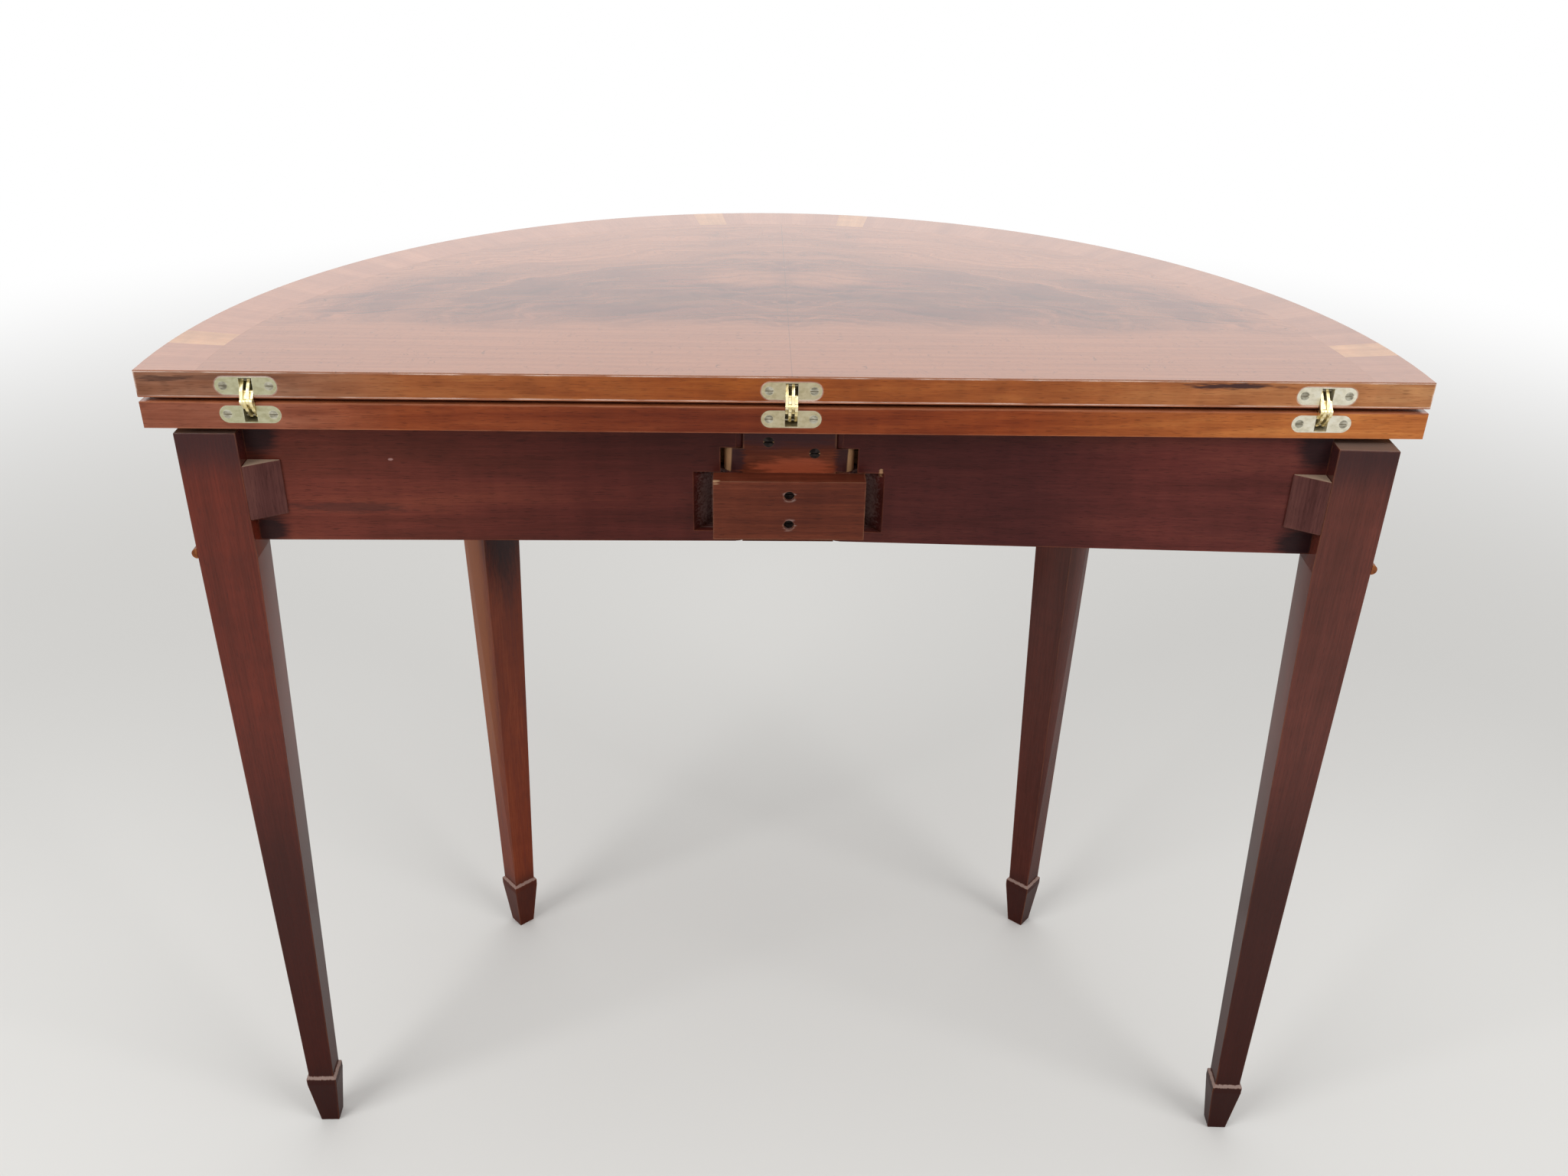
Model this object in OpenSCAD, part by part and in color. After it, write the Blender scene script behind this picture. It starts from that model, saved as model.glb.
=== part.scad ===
// Half-round folding games table with two swinging rear legs, drawn closed.
// The straight hinged edge faces -Y, the curved side +Y, and the feet stand on z = 0.

/* [Top] */
// Height of the closed table
table_height = 762; // [700:1:800]
// Radius of both half-round leaves
leaf_radius = 457.2; // [450:1:480]
// Thickness of each leaf
leaf_thickness = 20; // [18.5:0.5:24]
// Gap between the folded leaves
leaf_gap = 3.2; // [2.8:0.1:3.6]
// Set-back of the straight edges from the fold line
edge_setback = 0.2; // [0.1:0.05:0.4]
// Thickness of the face veneers and the cloth
veneer_thickness = 0.8; // [0.6:0.1:1.2]
// Width of the crossbanded border
border_width = 43; // [30:1:48]
// Width of the plain strip along the hinged edge of the playing side
playing_strip = 14; // [8:1:20]
// Rounding of the border's outer arris
border_round = 0.7; // [0.3:0.1:0.8]
// Angle of the light blocks from the ends and from the middle of the border
block_angle = 9; // [6:0.5:14]
// Width of a light block along the edge
light_block_width = 28; // [18:1:36]

/* [Curved frame] */
// Outer radius of the curved apron
apron_radius = 445; // [440:1:448]
// Distance of the apron's arc centre behind the hinged edge
apron_centre_back = 38; // [34:1:42]
// Thickness of the curved apron
apron_thickness = 22; // [20:1:26]
// Depth of the curved apron below the leaf
apron_depth = 105.8; // [100:1:120]
// Radius of the half-round bead along the apron's lower edge
bead_radius = 4; // [3:0.5:5]
// Thickness of the straight inner rail
inner_rail_thickness = 18; // [15:1:24]
// Side of a glue block
glue_block_side = 16; // [12:1:20]
// Length of a glue block
glue_block_length = 60; // [40:1:80]

/* [Swing rails] */
// Depth of the straight rails below the leaf
rail_depth = 96.8; // [90:1:100]
// Thickness of a swing rail
rail_thickness = 18; // [16:0.5:20]
// Distance of the rails' rear face from the hinged edge
rail_inset = 21; // [19:0.5:23]
// Clearance over the swing rails
rail_top_clearance = 1.2; // [0.6:0.1:2]
// Clearance between a closed swing rail and the inner rail
rail_back_clearance = 0.3; // [0.2:0.1:1]
// Distance of a knuckle pin from the middle
pin_offset = 39.5; // [38:0.5:42]
// Radius of a knuckle pin
pin_radius = 2.5; // [2:0.25:3]
// Number of knuckles in a joint
knuckle_count = 5; // [5:2:7]
// Gap between neighbouring knuckles
knuckle_gap = 0.4; // [0.3:0.1:0.8]
// Gap at the end of a fixed knuckle
knuckle_end_gap = 2.6; // [2:0.2:3.4]
// Running clearance on a pin, each side
running_clearance = 0.05; // [0.02:0.01:0.1]
// Largest swing of a rear leg
swing_angle = 43; // [36:1:45]
// How far the left leg stands open
left_ajar = 0.5; // [0:0.1:5]
// How far the right leg stands open
right_ajar = 2.5; // [0:0.1:5]

/* [Stop block] */
// Width of the stop block
stop_width = 112.4; // [108:0.2:114]
// Height of the stop block
stop_height = 47.5; // [42:0.5:50]
// Thickness of the stop block
stop_thickness = 16; // [12:0.5:18]
// Distance of the block's top below the leaf
stop_drop = 40; // [39:0.5:46]
// Diameter of a screw's countersunk head
screw_head = 8; // [6.5:0.25:9]
// Diameter of a screw's shank
screw_shank = 4; // [3:0.25:5]

/* [Legs] */
// Width of a rear leg at the top
rear_leg_width = 44; // [40:1:48]
// Depth of a rear leg at the top
rear_leg_depth = 32; // [30:0.5:34]
// Distance of a rear leg's outer face from the middle
rear_leg_reach = 440; // [430:1:442]
// How far a rear leg stops short of the rail's top
leg_top_drop = 4; // [0:0.5:6]
// Side of a front leg at the top
front_leg_side = 43; // [40:1:46]
// How far a front leg stands proud of the apron
front_leg_proud = 3; // [2:0.5:5]
// Angle of a front leg from the hinged edge, seen from the apron's arc centre
front_leg_angle = 49.5; // [44:0.5:54]
// Width of a leg above the collar
ankle_width = 23; // [20:0.5:26]
// Depth of a rear leg above the collar
ankle_depth = 20; // [18:0.5:24]
// How far a collar stands out from the leg
collar_proud = 2.1; // [1.5:0.1:3]
// Height of the collar's lower edge
collar_low = 52; // [40:1:75]
// Height of the collar band
collar_band = 7; // [6:0.5:12]
// Width of a foot on the floor
foot_width = 17; // [14:0.5:20]
// Depth of a rear foot on the floor
foot_depth = 15; // [12:0.5:18]
// Lean of a leg's outer face from top to collar
outer_lean = 1; // [0:0.5:5]
// Length of a corner block along the rail
corner_block_length = 24; // [18:1:32]
// Height of a corner block
corner_block_height = 43; // [30:1:50]
// Distance of a corner block's top below the leaf
corner_block_drop = 31; // [20:1:40]

/* [Link hinges] */
// Distance of an outer hinge from the middle
hinge_spacing = 381; // [360:1:385]
// Length of a hinge plate
plate_length = 43; // [40:0.5:50]
// Height of a hinge plate
plate_height = 13; // [12:0.25:14]
// Thickness of a hinge plate
plate_thickness = 2.5; // [2:0.25:3]
// Depth of a hinge housing
housing_depth = 20; // [19.5:0.25:22]
// Distance of a plate's middle from the fold line
plate_drop = 10.6; // [10.4:0.1:10.8]
// Thickness of one link
link_thickness = 2.1; // [1.6:0.1:2.3]
// Gap between neighbouring links
link_gap = 0.15; // [0.1:0.05:0.3]
// Width of a link's arm
arm_width = 2.6; // [2.4:0.1:2.8]
// Radius of a hinge pin
hinge_pin_radius = 0.8; // [0.7:0.05:0.8]

/* [Hidden] */
$fn = 64;

eps = 0.01;
big = 2000;
MAHOGANY = "#6b3326";
EDGE_WOOD = "#97552f";
BAIZE = "#2f5a3a";
BRASS = "#a3997f";
STEEL = "#77746e";

// Levels, from the top down
fold_z = table_height - leaf_thickness - leaf_gap / 2;
upper_low = table_height - leaf_thickness;
lower_high = upper_low - leaf_gap;
lower_low = lower_high - leaf_thickness;
rail_top = lower_low - rail_top_clearance;
rail_low = lower_low - rail_depth;
apron_low = lower_low - apron_depth;
bead_z = apron_low + bead_radius;
collar_high = collar_low + collar_band;

// Plan positions, measured from the hinged edge
half_rail = rail_thickness / 2;
pin_y = rail_inset + half_rail;
inner_rail_y = rail_inset + rail_thickness + rail_back_clearance;
rear_leg_front = rail_inset + rail_thickness;
rear_leg_back = rear_leg_front - rear_leg_depth;
rear_leg_inner = rear_leg_reach - rear_leg_width;
apron_inner = apron_radius - apron_thickness;
border_inner = leaf_radius - border_width;
stop_top = lower_low - stop_drop;
stop_rear = rail_inset - stop_thickness;

// The link hinge, in the plane across the fold: [distance in from the edge, height over the fold]
pivot = [1.8, -5.6];
elbow = [-3, 0];
elbow_reach = norm(elbow - pivot);
slide_height = 13;
slot_width = 4 * link_thickness + 5 * link_gap;
housing_wall = 1.9;
housing_width = slot_width + 2 * housing_wall;
slot_wall = 0.8;
slot_back_wall = 1.2;
slot_depth = housing_depth - slot_back_wall;
notch_depth = 5;
elbow_flat = [0, pivot[1] - sqrt(elbow_reach * elbow_reach - pivot[0] * pivot[0])];
elbow_turn = atan2(elbow_flat[1] - pivot[1], elbow_flat[0] - pivot[0]) + 360
    - atan2(elbow[1] - pivot[1], elbow[0] - pivot[0]);
// Degrees that a link turns for each degree of the fold
link_ratio = elbow_turn / 180;
// The slide pin stands at one depth in its housing when the leaf is closed and when it is open
slide_rise = slide_height - pivot[1];
slide_drop = -slide_height - pivot[1];
slide_end = [pivot[0] + (slide_drop - slide_rise * cos(elbow_turn)) / sin(elbow_turn), slide_height];
// The long arm bends outwards here, clear of the pin that the other leaf's links turn on
link_knee = [-0.3, 6.9];
link_eye = 3.2;
hinge_places = [-hinge_spacing, 0, hinge_spacing];
hinge_screw_place = 16;
hinge_screw_head = 6.4;
hinge_screw_shank = 3;
hinge_screw_length = 16;

// Middle of the whole table in Y, so that the origin lies under the middle of its outline
ajar = max(left_ajar, right_ajar);
swung_rear = pin_y - (rear_leg_reach + bead_radius - pin_offset) * sin(ajar)
    + (rear_leg_back - pin_y) * cos(ajar);
pin_slot_play = 0.45;
pin_slot = 2 * (hinge_pin_radius + pin_slot_play);
pin_slot_rim = 0.9;
boss_width = pin_slot + 2 * pin_slot_rim;
link_front = elbow[0] - boss_width / 2;
middle_y = (leaf_radius + min(swung_rear, link_front)) / 2;

module placed() {
    translate([0, -middle_y, 0])
        children();
}

// Turns a point of the hinge plane about another by an angle
function turned(p, about, a) = about + [
    cos(a) * (p[0] - about[0]) - sin(a) * (p[1] - about[1]),
    sin(a) * (p[0] - about[0]) + cos(a) * (p[1] - about[1])];

// Basic forms
module slab(low, high) {
    translate(low)
        cube(high - low);
}

module half_disc(radius, low, high) {
    translate([0, 0, low])
        intersection() {
            cylinder(r = radius, h = high - low, $fn = 180);
            slab([-big, edge_setback, -1], [big, big, big]);
        }
}

module wedge_of_ring(centre_angle, width_angle) {
    rotate([0, 0, centre_angle - width_angle / 2])
        rotate_extrude(angle = width_angle, $fn = 180)
            translate([1, -big / 2])
                square([big, big]);
}

// A screw along +Y whose flat head lies at the origin
module screw(head, shank, length) {
    slot = head / 7;
    rotate([-90, 0, 0])
        difference() {
            union() {
                cylinder(d1 = head, d2 = shank, h = (head - shank) / 2);
                cylinder(d = shank, h = length);
            }
            translate([-head, -slot / 2, -slot])
                cube([2 * head, slot, 2 * slot]);
        }
}

module screw_hole(head, shank, length) {
    rotate([-90, 0, 0]) {
        cylinder(d1 = head, d2 = shank, h = (head - shank) / 2);
        cylinder(d = shank, h = length);
        translate([0, 0, -big])
            cylinder(d = head, h = big + eps / 2);
    }
}

// Leaves
module stadium(length, height) {
    square([length - height, height], center = true);
    for (side = [-1, 1])
        translate([side * (length - height) / 2, 0])
            circle(d = height);
}

// The mortise for one hinge in the edge of the leaf below the fold line
module hinge_mortise(play) {
    translate([0, 0, fold_z - plate_drop]) {
        translate([0, edge_setback + plate_thickness + play, 0])
            rotate([90, 0, 0])
                linear_extrude(edge_setback + plate_thickness + play + 1)
                    stadium(plate_length + 2 * play, plate_height + 2 * play);
        slab([-housing_width / 2 - play, -1, -plate_height / 2 - play],
             [housing_width / 2 + play, housing_depth + play, plate_height / 2 + play]);
        for (side = [-1, 1])
            translate([side * hinge_screw_place, 0, 0])
                rotate([-90, 0, 0])
                    cylinder(d = hinge_screw_shank, h = hinge_screw_length + edge_setback + 1);
    }
    slab([-slot_width / 2, -1, fold_z - plate_drop], [slot_width / 2, notch_depth, fold_z]);
}

module lower_mortises() {
    for (x = hinge_places)
        translate([x, 0, 0])
            hinge_mortise(0.1);
}

module flipped() {
    translate([0, 0, 2 * fold_z])
        mirror([0, 0, 1])
            children();
}

module leaf_core() {
    difference() {
        half_disc(leaf_radius, lower_low, lower_high - veneer_thickness);
        lower_mortises();
    }
}

module lower_leaf() {
    color(EDGE_WOOD)
        placed()
            leaf_core();
}

module border_profile(rounding) {
    width = leaf_radius - border_inner;
    intersection() {
        union() {
            square([width - rounding, veneer_thickness]);
            square([width, veneer_thickness - rounding]);
            translate([width - rounding, veneer_thickness - rounding])
                circle(r = rounding);
        }
        square([width, veneer_thickness]);
    }
}

module crossband() {
    intersection() {
        rotate_extrude($fn = 180)
            translate([border_inner, 0])
                border_profile(min(border_round, veneer_thickness));
        slab([-big, edge_setback, -1], [big, big, 1]);
        translate([0, 0, -1])
            cylinder(r = leaf_radius + 1, h = 3);
    }
}

// The playing side: a border with a plain strip along the hinged edge, and baize within them
module strip_along_edge() {
    slab([-big, 0, 0], [big, playing_strip, big]);
}

module playing_crossband() {
    difference() {
        union() {
            translate([0, 0, lower_high - veneer_thickness])
                crossband();
            intersection() {
                half_disc(border_inner + 1, lower_high - veneer_thickness, lower_high);
                strip_along_edge();
            }
        }
        lower_mortises();
    }
}

module baize() {
    difference() {
        half_disc(border_inner, lower_high - veneer_thickness, lower_high);
        strip_along_edge();
        lower_mortises();
    }
}

module lower_crossband() {
    color(MAHOGANY)
        placed()
            playing_crossband();
}

module lower_baize() {
    color(BAIZE)
        placed()
            baize();
}

module upper_leaf() {
    color(EDGE_WOOD)
        placed()
            difference() {
                half_disc(leaf_radius, upper_low + veneer_thickness, table_height - veneer_thickness);
                flipped()
                    lower_mortises();
            }
}

module upper_crossband() {
    color(MAHOGANY)
        placed()
            flipped()
                playing_crossband();
}

module upper_baize() {
    color(BAIZE)
        placed()
            flipped()
                baize();
}

// Outer face: two mirrored halves of one flame, a border of short grain and four light blocks
module flame_half(side) {
    color(MAHOGANY)
        placed()
            intersection() {
                half_disc(border_inner, table_height - veneer_thickness, table_height);
                slab([min(0, side * big), -big, 0], [max(0, side * big), big, big]);
            }
}

module block_wedges() {
    width_angle = 360 * light_block_width / (2 * PI * leaf_radius);
    for (a = [block_angle, 90 - block_angle, 90 + block_angle, 180 - block_angle])
        wedge_of_ring(a, width_angle);
}

module outer_border() {
    translate([0, 0, table_height - veneer_thickness])
        crossband();
}

module top_crossband() {
    color(MAHOGANY)
        placed()
            difference() {
                outer_border();
                block_wedges();
            }
}

module light_blocks() {
    color("#d8b08f")
        placed()
            intersection() {
                outer_border();
                block_wedges();
            }
}

// Curved frame
module on_apron_centre() {
    translate([0, -apron_centre_back, 0])
        children();
}

module front_leg_places() {
    on_apron_centre()
        for (a = [front_leg_angle, 180 - front_leg_angle])
            rotate([0, 0, a])
                translate([apron_radius + front_leg_proud - front_leg_side / 2, 0, 0])
                    children();
}

// A front leg straddles a thinned tongue of the apron
tongue_thickness = 12;
tongue_outer = front_leg_side / 2 - 10;
tongue_inner = tongue_outer - tongue_thickness;

module tongue_housings() {
    half = front_leg_side / 2;
    slab([tongue_outer, -half, apron_low - 1], [big / 10, half, lower_low + 1]);
    slab([-half - 1, -half, apron_low - 1], [tongue_inner, half, lower_low + 1]);
}

module apron() {
    color(MAHOGANY)
        placed()
            difference() {
                intersection() {
                    on_apron_centre()
                        translate([0, 0, apron_low])
                            difference() {
                                cylinder(r = apron_radius, h = apron_depth, $fn = 180);
                                translate([0, 0, -1])
                                    cylinder(r = apron_inner, h = apron_depth + 2, $fn = 180);
                            }
                    slab([-big, inner_rail_y, 0], [big, big, big]);
                }
                front_leg_places()
                    tongue_housings();
            }
}

module apron_bead() {
    color(MAHOGANY)
        placed()
            difference() {
                on_apron_centre()
                    translate([0, 0, bead_z])
                        rotate_extrude($fn = 180)
                            intersection() {
                                translate([apron_radius, 0])
                                    circle(r = bead_radius);
                                translate([apron_radius, -bead_radius])
                                    square(2 * bead_radius);
                            }
                slab([-big, -big, 0], [big, inner_rail_y, big]);
                front_leg_places()
                    slab([-big / 10, -front_leg_side / 2, 0], [big / 10, front_leg_side / 2, big]);
            }
}

module inner_rail() {
    color("#8a5a3c")
        placed()
            difference() {
                intersection() {
                    slab([-big, inner_rail_y, rail_low], [big, inner_rail_y + inner_rail_thickness, lower_low]);
                    on_apron_centre()
                        cylinder(r = apron_inner - 0.1, h = big, $fn = 180);
                }
                knuckle_screws_at()
                    screw_hole(screw_head, screw_shank, screw_reach);
                stop_screws_at()
                    screw_hole(screw_head, screw_shank, stop_screw_reach);
            }
}

glue_block_angles = [24, 68, 112, 156];
glue_block_nose = 2;

module glue_blocks() {
    side = glue_block_side;
    nose = glue_block_nose;
    color("#a9805a")
        placed()
            on_apron_centre()
                for (a = glue_block_angles)
                    rotate([0, 0, a])
                        translate([sqrt(pow(apron_inner, 2) - pow(glue_block_length / 2, 2)) - 0.1, 0, lower_low])
                            rotate([90, 0, 0])
                                linear_extrude(glue_block_length, center = true)
                                    polygon([[0, 0], [-side, 0], [-side, -nose], [-nose, -side], [0, -side]]);
}

// Knuckle joint of a swing rail, seen for the right hand rail
knuckle_pitch = (rail_top - rail_low) / knuckle_count;

module knuckle_levels(first) {
    for (i = [first : 2 : knuckle_count - 1])
        translate([0, 0, rail_top - (i + 1) * knuckle_pitch])
            children();
}

module at_pin() {
    translate([pin_offset, pin_y, 0])
        children();
}

module both_sides() {
    children();
    mirror([1, 0, 0])
        children();
}

// The room round the moving knuckles, cut out of the fixed block
module moving_knuckle_room() {
    hollow = half_rail + knuckle_hollow;
    knuckle_levels(0)
        translate([0, 0, -knuckle_gap / 2]) {
            at_pin()
                cylinder(r = hollow, h = knuckle_pitch + knuckle_gap);
            translate([pin_offset, 0, 0])
                cube([big / 10, pin_y * 2, knuckle_pitch + knuckle_gap]);
        }
    slab([pin_offset - hollow, 0, rail_top], [big / 10, pin_y * 2, big]);
    slab([pin_offset - hollow, 0, 0], [big / 10, pin_y * 2, rail_low]);
}

knuckle_hollow = 1.3;
moving_radius = half_rail - rail_back_clearance;
screw_cover = 4;
screw_reach = rail_thickness + rail_back_clearance + inner_rail_thickness - screw_cover;
stop_screw_sink = 4;
stop_screw_reach = stop_thickness + rail_thickness + inner_rail_thickness - stop_screw_sink - screw_cover;
stop_screw_drops = [12, 35.5];
// Each screw's place: distance from the middle, and height as a share of the rail's depth
knuckle_screw_places = [[18.5, 0.75], [-15.6, 0.84]];

module knuckle_screws_at() {
    for (p = knuckle_screw_places)
        translate([p[0], rail_inset, rail_low + p[1] * rail_depth])
            children();
}

module stop_screws_at() {
    for (drop = stop_screw_drops)
        translate([0, stop_rear + stop_screw_sink, stop_top - drop])
            children();
}

module knuckle_block() {
    color(MAHOGANY)
        placed()
            difference() {
                union() {
                    slab([-pin_offset, rail_inset, rail_low], [pin_offset, inner_rail_y, lower_low]);
                    both_sides()
                        at_pin()
                            translate([0, 0, rail_low])
                                cylinder(r = half_rail, h = rail_top - rail_low);
                }
                both_sides()
                    moving_knuckle_room();
                both_sides()
                    at_pin()
                        cylinder(r = pin_radius, h = big);
                knuckle_screws_at()
                    screw_hole(screw_head, screw_shank, screw_reach);
                stop_screws_at()
                    screw_hole(screw_head, screw_shank, stop_screw_reach);
            }
}

module knuckle_block_screws() {
    color(STEEL)
        placed()
            knuckle_screws_at()
                screw(screw_head, screw_shank, screw_reach - 1);
}

module stop_block() {
    color(MAHOGANY)
        placed()
            difference() {
                slab([-stop_width / 2, stop_rear, stop_top - stop_height], [stop_width / 2, rail_inset, stop_top]);
                stop_screws_at()
                    screw_hole(screw_head, screw_shank, stop_screw_reach);
            }
}

module stop_block_screws() {
    color(STEEL)
        placed()
            stop_screws_at()
                screw(screw_head, screw_shank, stop_screw_reach - 1);
}

module knuckle_pin() {
    color(STEEL)
        placed()
            at_pin()
                translate([0, 0, rail_low + 1])
                    cylinder(r = pin_radius, h = rail_top - rail_low - 2);
}

module knuckle_pin_right() {
    knuckle_pin();
}

module knuckle_pin_left() {
    mirror([1, 0, 0])
        knuckle_pin();
}

// Swing rail: drawn closed, then turned about its pin
module swung(side) {
    angle = side > 0 ? right_ajar : left_ajar;
    placed()
        mirror([side > 0 ? 0 : 1, 0, 0])
            at_pin()
                rotate([0, 0, -angle])
                    translate([-pin_offset, -pin_y, 0])
                        children();
}

// The notch that lets the open rail land on the stop block: the block's corner turned back,
// and what stands out round the pin past the knuckle
stop_notch_headroom = 0.5;

module stop_notch() {
    play = rail_back_clearance;
    notch_height = stop_height + 2 * stop_notch_headroom;
    at_pin()
        translate([0, 0, stop_top - stop_height - stop_notch_headroom]) {
            rotate([0, 0, swing_angle])
                translate([-big / 10, -half_rail - big / 10 + play, 0])
                    cube([big / 10 + stop_width / 2 - pin_offset + play, big / 10, notch_height]);
            difference() {
                translate([0, -2 * half_rail, 0])
                    cube([half_rail * sin(swing_angle), 2 * half_rail, notch_height]);
                translate([0, 0, -1])
                    cylinder(r = moving_radius, h = notch_height + 2);
            }
        }
}

tenon_length = 22;
tenon_thickness = 8;
tenon_shoulder = 10;
corner_block_nose = 1.5;

module tenon(play) {
    slab([rear_leg_inner - 1, pin_y - tenon_thickness / 2 - play, rail_low + tenon_shoulder - play],
         [rear_leg_inner + tenon_length + play, pin_y + tenon_thickness / 2 + play, rail_top - tenon_shoulder + play]);
}

module swing_rail(side) {
    shoulder = pin_offset + half_rail + knuckle_end_gap;
    color(MAHOGANY)
        swung(side)
            difference() {
                union() {
                    difference() {
                        slab([pin_offset, rail_inset, rail_low], [rear_leg_inner, rear_leg_front, rail_top]);
                        stop_notch();
                    }
                    at_pin()
                        translate([0, 0, rail_low])
                            cylinder(r = moving_radius, h = rail_top - rail_low);
                    tenon(0);
                }
                knuckle_levels(1)
                    translate([0, 0, -knuckle_gap / 2])
                        cube([shoulder, pin_y * 2, knuckle_pitch + knuckle_gap]);
                at_pin()
                    cylinder(r = pin_radius + running_clearance, h = big);
            }
}

// Legs: a straight stile, a long taper, a collar and a tapered foot
module frustum(low, low_size, low_at, high, high_size, high_at) {
    hull() {
        translate([low_at[0], low_at[1], low + eps / 2])
            cube([low_size[0], low_size[1], eps], center = true);
        translate([high_at[0], high_at[1], high - eps / 2])
            cube([high_size[0], high_size[1], eps], center = true);
    }
}

// A leg whose stile is centred on the origin; its axis leans outwards to the ankle
module leg(stile, ankle, foot, top) {
    shift = [(stile[0] - ankle[0]) / 2 - outer_lean, 0];
    collar = ankle + [2 * collar_proud, 2 * collar_proud];
    slab([-stile[0] / 2, -stile[1] / 2, apron_low], [stile[0] / 2, stile[1] / 2, top]);
    frustum(collar_high + collar_proud, ankle, shift, apron_low, stile, [0, 0]);
    frustum(collar_high, collar, shift, collar_high + collar_proud, ankle, shift);
    frustum(collar_low, collar, shift, collar_high, collar, shift);
    frustum(0, foot, shift, collar_low, collar, shift);
}

module front_leg() {
    color(MAHOGANY)
        placed()
            on_apron_centre()
                rotate([0, 0, front_leg_angle])
                    translate([apron_radius + front_leg_proud - front_leg_side / 2, 0, 0])
                        difference() {
                            leg([front_leg_side, front_leg_side], [ankle_width, ankle_width],
                                [foot_width, foot_width], lower_low);
                            slab([tongue_inner, -front_leg_side, apron_low],
                                 [tongue_outer, front_leg_side, big]);
                        }
}

module front_leg_right() {
    front_leg();
}

module front_leg_left() {
    mirror([1, 0, 0])
        front_leg();
}

module straight_bead(length) {
    rotate([90, 0, 0])
        linear_extrude(length, center = true)
            intersection() {
                circle(r = bead_radius);
                translate([0, -bead_radius])
                    square(2 * bead_radius);
            }
}

module front_leg_beads() {
    color(MAHOGANY)
        placed()
            front_leg_places()
                translate([front_leg_side / 2, 0, bead_z])
                    straight_bead(front_leg_side);
}

module rear_leg(side) {
    color(MAHOGANY)
        swung(side)
            difference() {
                translate([rear_leg_reach - rear_leg_width / 2, rear_leg_front - rear_leg_depth / 2, 0])
                    leg([rear_leg_width, rear_leg_depth], [ankle_width, ankle_depth],
                        [foot_width, foot_depth], rail_top - leg_top_drop);
                tenon(0.1);
            }
}

module leg_bead(side) {
    color(MAHOGANY)
        swung(side)
            translate([rear_leg_reach, rear_leg_front - rear_leg_depth / 2, bead_z])
                straight_bead(rear_leg_depth);
}

module corner_block(side) {
    reach = rail_inset - rear_leg_back;
    nose = corner_block_nose;
    color("#8f5b3c")
        swung(side)
            translate([rear_leg_inner, rail_inset, lower_low - corner_block_drop - corner_block_height])
                linear_extrude(corner_block_height)
                    polygon([[0, 0], [-corner_block_length, 0], [-corner_block_length, -nose], [-nose, -reach],
                        [0, -reach]]);
}

module swing_rail_left() { swing_rail(-1); }
module swing_rail_right() { swing_rail(1); }
module rear_leg_left() { rear_leg(-1); }
module rear_leg_right() { rear_leg(1); }
module corner_block_left() { corner_block(-1); }
module corner_block_right() { corner_block(1); }
module leg_bead_left() { leg_bead(-1); }
module leg_bead_right() { leg_bead(1); }

// Link hinges, drawn for the half below the fold line
module hinge_body() {
    translate([0, 0, fold_z - plate_drop])
        difference() {
            union() {
                translate([0, edge_setback + plate_thickness, 0])
                    rotate([90, 0, 0])
                        linear_extrude(plate_thickness)
                            stadium(plate_length, plate_height);
                slab([-housing_width / 2, edge_setback, -plate_height / 2],
                     [housing_width / 2, housing_depth, plate_height / 2]);
            }
            slab([-slot_width / 2, -1, slot_wall - plate_height / 2],
                 [slot_width / 2, slot_depth, plate_height / 2 - slot_wall]);
            slab([-slot_width / 2, -1, 0], [slot_width / 2, notch_depth, plate_height]);
            translate([0, pivot[0], plate_drop + pivot[1]])
                rotate([0, 90, 0])
                    cylinder(r = hinge_pin_radius, h = 2 * housing_width, center = true);
            for (side = [-1, 1])
                translate([side * hinge_screw_place, edge_setback, 0])
                    screw_hole(hinge_screw_head, hinge_screw_shank, hinge_screw_length);
        }
}

module hinge_body_lower(x) {
    color(BRASS)
        placed()
            translate([x, 0, 0])
                hinge_body();
}

module hinge_body_upper(x) {
    color(BRASS)
        placed()
            flipped()
                translate([x, 0, 0])
                    hinge_body();
}

module hinge_screws() {
    for (x = hinge_places, side = [-1, 1])
        translate([x + side * hinge_screw_place, edge_setback, fold_z - plate_drop])
            screw(hinge_screw_head, hinge_screw_shank, hinge_screw_length);
}

module hinge_screws_lower() {
    color(STEEL)
        placed()
            hinge_screws();
}

module hinge_screws_upper() {
    color(STEEL)
        placed()
            flipped()
                hinge_screws();
}

// A pin along X at a point of the hinge plane
module cross_pin(p, length) {
    for (x = hinge_places)
        translate([x, p[0], fold_z + p[1]])
            rotate([0, 90, 0])
                cylinder(r = hinge_pin_radius, h = length, center = true);
}

module hinge_pins_lower() {
    color(STEEL)
        placed()
            cross_pin(pivot, housing_width);
}

module hinge_pins_upper() {
    color(STEEL)
        placed()
            flipped()
                cross_pin(pivot, housing_width);
}

module centre_pins() {
    color(STEEL)
        placed()
            cross_pin(elbow, slot_width - 2 * link_gap);
}

module slide_pins() {
    cross_pin(slide_end, slot_width - 2 * link_gap);
}

module slide_pins_lower() {
    color(STEEL)
        placed()
            slide_pins();
}

module slide_pins_upper() {
    color(STEEL)
        placed()
            flipped()
                slide_pins();
}

// A bar with round ends between two points of the hinge plane
module bar(from, to, width) {
    run = to - from;
    translate(from)
        rotate(atan2(run[1], run[0]))
            translate([0, -width / 2])
                square([norm(run), width]);
    for (p = [from, to])
        translate(p)
            circle(d = width);
}

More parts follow.
